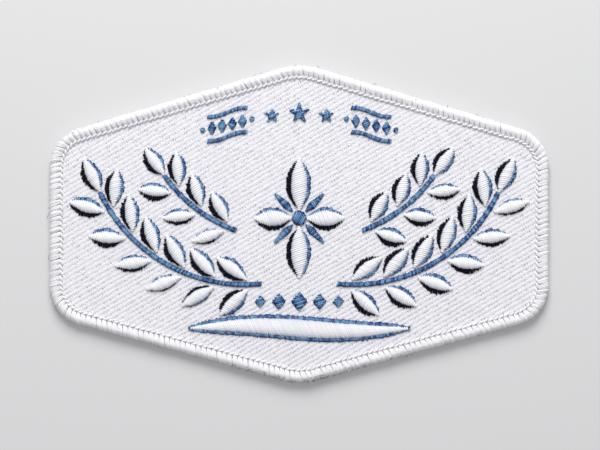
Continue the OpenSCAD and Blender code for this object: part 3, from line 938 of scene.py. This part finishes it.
# merrowed border: bundles of yarn wrapped over a round bead, gathered at a needle hole on its inner side
border = dict(
    stitchPitch=1.1, strandRadius=0.168, crownSpread=0.245, footSpread=0.095, lean=0.32,
    # how much lower each strand of a bundle lies
    drops=(0.08, 0.015, 0.0, 0.065),
    # ranges of a bundle's place, a bundle's height and a strand's height, in wobbles
    wobble=0.075, swingRange=(-1, 1), puffRange=(-1.2, 0.4), strandRange=(-1, 0.6),
    mostOut=0.01, outReach=1.4, crownFrom=1.5,
    # bead that the yarn is wrapped round
    coreOut=0.35, coreRadius=0.68, coreDrop=0.05, coreKnots=240, coreRoundness=4,
    # cut across a bundle: distance outwards from the border's middle line, height, and how far it opens
    section=[(1.23, 1.05, 1.0), (1.14, 1.6, 1.0), (0.88, 2.03, 1.0), (0.48, 2.22, 0.99), (0.04, 2.17, 0.9),
             (-0.42, 1.97, 0.68), (-0.84, 1.74, 0.3), (-1.02, 1.35, 0.08), (-0.95, 0.55, 0.0),
             (-0.45, 0.2, 0.5), (0.35, 0.17, 1.0), (0.97, 0.42, 1.0)],
)
# chain of linked stitches on the border's inner side, two strands to a link
chain = dict(
    radius=0.165, pairGap=0.13, pairShift=0.08, slack=0.07, startShare=0.5,
    # share of a stitch, distance outwards, and height above the cloth
    path=[(0.0, -0.80, 0.02), (0.2, -0.98, 0.26), (0.5, -1.10, 0.34), (0.8, -1.17, 0.24), (1.0, -1.14, -0.04)],
)
# loose fibres, more of them round the lowest point
fuzz = dict(
    radius=0.045, count=80, bottomCount=260, bottomReach=11.0, waySteps=2000,
    shortest=0.3, longest=0.95, angles=(-25, 70), drift=(-0.7, 0.7), curl=(-0.5, 0.5), knots=(0, 0.35, 0.7, 1),
    rootOut=0.25, beadOut=1.0, outShare=0.55, rootIn=0.1, riseShare=0.12,
)
beadMiddle = patch["borderHeight"] / 2
borderRoute = insetRoute(patch["borderWidth"] / 2)
borderLong = routeLong(borderRoute)
stitchCount = round(borderLong / border["stitchPitch"])
stitchPitch = borderLong / stitchCount


# a point of the border: way along it, distance outwards from its middle line, height
def onBorder(along, out, z):
    x, y, head = routePoint(borderRoute, along % borderLong)
    dx, dy = turned(0, -out, head)
    return x + dx, y + dy, z


def wrapStrand(stitch, strand, swing, puff):
    offset = strand - (len(border["drops"]) - 1) / 2
    swell = puff - border["drops"][strand] + dice.uniform(*border["strandRange"]) * border["wobble"]
    loop = []
    for out, z, opened in border["section"]:
        spread = border["footSpread"] + (border["crownSpread"] - border["footSpread"]) * opened
        along = (stitch + spread * offset) * stitchPitch + swing * opened + border["lean"] * out
        swollenOut = out + min(swell, border["mostOut"]) * max(0.0, out / border["outReach"])
        swollenUp = z + (swell * opened if z > border["crownFrom"] else 0)
        loop.append(onBorder(along, swollenOut, swollenUp))
    return loop


def chainLink(stitch, side, slack):
    shift = chain["pairShift"] * side
    return [onBorder((stitch + share - chain["startShare"] + shift) * stitchPitch,
                     out - side * chain["pairGap"] + slack, clothTop + rise * (1 - shift))
            for share, out, rise in chain["path"]]


def fuzzFibre(along):
    a = math.radians(dice.uniform(*fuzz["angles"]))
    long = dice.uniform(fuzz["shortest"], fuzz["longest"])
    drift, curl = dice.uniform(*fuzz["drift"]), dice.uniform(*fuzz["curl"])
    fibre = []
    for share in fuzz["knots"]:
        away = fuzz["beadOut"] + fuzz["outShare"] * long * math.sin(share * math.pi * 0.5)
        root = beadMiddle + math.sin(a) * (beadMiddle - fuzz["rootIn"])
        fibre.append(onBorder(along + (drift + curl * share) * share * long,
                              fuzz["rootOut"] + math.cos(a) * away, root + fuzz["riseShare"] * share * long))
    return fibre


wraps, links = [], []
for stitch in range(stitchCount):
    swing = dice.uniform(*border["swingRange"]) * border["wobble"]
    puff = dice.uniform(*border["puffRange"]) * border["wobble"]
    for strand in range(len(border["drops"])):
        wraps.append(wrapStrand(stitch, strand, swing, puff))
    slack = dice.uniform(-1, 1) * chain["slack"]
    for side in (0, 1):
        links.append(chainLink(stitch, side, slack))

lowestWay = min((borderLong * k / fuzz["waySteps"] for k in range(fuzz["waySteps"])),
                key=lambda way: routePoint(borderRoute, way)[1])
fibres = [fuzzFibre(dice.uniform(0, borderLong)) for k in range(fuzz["count"])]
fibres += [fuzzFibre(lowestWay + dice.gauss(0, fuzz["bottomReach"])) for k in range(fuzz["bottomCount"])]
core = [onBorder(borderLong * k / border["coreKnots"], border["coreOut"], beadMiddle - border["coreDrop"])
        for k in range(border["coreKnots"])]
borderWraps = addPiece(strandMesh("borderWraps", wraps, border["strandRadius"], loops=True), "borderWraps",
                       borderYarn, ["merrow_border"])
borderChain = addPiece(strandMesh("borderChain", links, chain["radius"]), "borderChain",
                       borderYarn, [])
borderFuzz = addPiece(strandMesh("borderFuzz", fibres, fuzz["radius"], 0), "borderFuzz",
                      looseFibre, [])
borderCore = addPiece(strandMesh("borderCore", [core], border["coreRadius"], border["coreRoundness"], True),
                      "borderCore", borderYarn, [])
print("border wrapped")

# flat size of the cloth, and points round its edge
cloth = dict(wide=patch["width"] - 2 * clothInset, tall=patch["height"] - 2 * clothInset, ringPoints=720)
clothRoute = insetRoute(clothInset)
clothLong = routeLong(clothRoute)
ring = [routePoint(clothRoute, clothLong * k / cloth["ringPoints"]) for k in range(cloth["ringPoints"])]

# floor, light and camera
studio = dict(
    floor=(0.71, 0.71, 0.71), floorDull=0.9, floorHalf=3.0, sky=(0.97, 0.975, 1.0), skyStrength=0.50,
    keyPlace=(-0.02, 0.45, 0.36), keySize=0.34, keyPower=3.05,
)
bm = bmesh.new()
bmesh.ops.create_grid(bm, x_segments=1, y_segments=1, size=studio["floorHalf"])
floorMesh = bpy.data.meshes.new("floor")
bm.to_mesh(floorMesh)
bm.free()
floor = bpy.data.objects.new("floor", floorMesh)
scene.collection.objects.link(floor)
floorPaint, _, floorShader = newMaterial("pale floor")
floorShader.inputs["Base Color"].default_value = (*studio["floor"], 1)
floorShader.inputs["Roughness"].default_value = studio["floorDull"]
floorMesh.materials.append(floorPaint)

world = bpy.data.worlds.new("studio")
world.use_nodes = True
background = world.node_tree.nodes["Background"]
background.inputs["Color"].default_value = (*studio["sky"], 1)
background.inputs["Strength"].default_value = studio["skyStrength"]
scene.world = world

keyLamp = bpy.data.lights.new("key", "AREA")
keyLamp.shape = "DISK"
keyLamp.size = studio["keySize"]
keyLamp.energy = studio["keyPower"]
keyLight = bpy.data.objects.new("key", keyLamp)
keyLight.location = studio["keyPlace"]
keyLight.rotation_euler = (-Vector(studio["keyPlace"])).to_track_quat("-Z", "Y").to_euler()
scene.collection.objects.link(keyLight)

# straight above, framed so that the patch takes 500 of the 600 pixels
view = dict(lens=120.0, sensor=36.0, frameWidth=121.95, shiftX=0.16, shiftY=-0.3, clip=(0.01, 20))
cameraData = bpy.data.cameras.new("camera")
cameraData.lens = view["lens"]
cameraData.sensor_width = view["sensor"]
cameraData.clip_start, cameraData.clip_end = view["clip"]
camera = bpy.data.objects.new("camera", cameraData)
camera.location = (view["shiftX"] * mm, view["shiftY"] * mm,
                   view["frameWidth"] * mm * view["lens"] / view["sensor"] + beadMiddle * mm)
scene.collection.objects.link(camera)
scene.camera = camera
scene.view_settings.view_transform = "Standard"
print("studio set")
